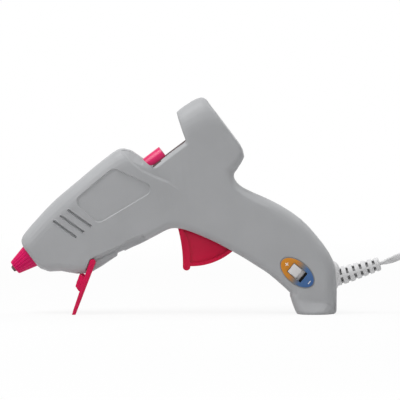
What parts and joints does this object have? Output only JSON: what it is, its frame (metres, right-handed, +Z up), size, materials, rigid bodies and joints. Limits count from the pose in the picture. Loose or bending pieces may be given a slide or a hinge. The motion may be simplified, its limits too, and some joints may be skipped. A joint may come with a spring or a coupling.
{
  "type": "hot glue applicator",
  "caption": "Hand-held hot glue gun with a squeezed trigger, a sliding feed collar, a folding front stand and a heat switch.",
  "frame": {"origin": "middle of the gun's length and width on the floor it stands on, cord left out", "axes": "+Z up, +X from the nozzle to the handle, +Y to the far side of the gun"},
  "size_m": [0.3388, 0.0474, 0.1297],
  "materials": {
    "grey_plastic": "fine moulded grain, satin",
    "pink_plastic": "moulded, half gloss",
    "white_plastic": "moulded, satin",
    "black_plastic": "moulded, matt",
    "plate": "printed from orange to blue, half gloss",
    "dark_metal": "turned, darkened by heat",
    "steel": "plain",
    "aluminium": "cast, dull",
    "brass": "stamped, bright",
    "ceramic": "fired, matt",
    "film": "amber film",
    "silicone": "moulded, matt",
    "rubber": "moulded, matt",
    "lead_dark": "extruded, satin",
    "lead_pale": "extruded, satin",
    "cord_grey": "extruded vinyl, satin"
  },
  "bodies": {
    "gun": {"left_shell": "grey_plastic", "right_shell": "grey_plastic", "shell_screws": "steel", "nozzle_tip": "dark_metal", "nozzle_sleeve": "pink_plastic", "melt_chamber": "aluminium", "heater_pills": "ceramic", "heater_contacts": "steel", "heater_film": "film", "heater_clip": "steel", "inlet_sleeve": "silicone", "sleeve_band": "steel", "inlet_ring": "grey_plastic", "pivot_pin": "steel", "return_spring": "steel", "switch_plate": "plate", "switch_body": "black_plastic", "switch_terminals": "brass", "low_heat_diode": "black_plastic", "lead_heat": "lead_dark", "lead_neutral": "lead_pale", "lead_live": "lead_dark", "crimp_cap": "white_plastic", "cord_clamp": "black_plastic", "clamp_screws": "steel", "strain_relief": "cord_grey", "cord_lead": "cord_grey", "cord_coil": "cord_grey", "coil_tie": "rubber", "cord_tail": "cord_grey", "plug_body": "cord_grey", "plug_blades": "brass"},
    "carriage": {"feed_carriage": "pink_plastic", "grip_bush": "rubber"},
    "trigger": {"trigger": "pink_plastic", "drive_pin": "steel"},
    "stand": {"stand": "pink_plastic"},
    "slider": {"switch_slider": "white_plastic"}
  },
  "joints": [
    {"name": "trigger_pull", "type": "hinge", "parent": "gun", "child": "trigger", "pos_m": [0.0109, 0, 0.0664], "axis": [0, -1, 0], "range_deg": [0, 22.9], "stiffness_Nm_per_rad": 0.4, "springref_deg": -11.46},
    {"name": "carriage_feed", "type": "slide", "parent": "gun", "child": "carriage", "axis": [-0.7986, 0, -0.6018], "range_m": [0, 0.00901], "deforming": ["return_spring"]},
    {"name": "stand_fold", "type": "hinge", "parent": "gun", "child": "stand", "pos_m": [-0.0483, 0, 0.0316], "axis": [0, -1, 0], "range_deg": [0, 134.8]},
    {"name": "heat_switch", "type": "slide", "parent": "gun", "child": "slider", "axis": [0.7771, 0, -0.6293], "range_m": [0, 0.0036]}
  ],
  "couplings": [
    {"joint": "carriage_feed", "follows": "trigger_pull", "m_per_rad": 0.022487}
  ]
}
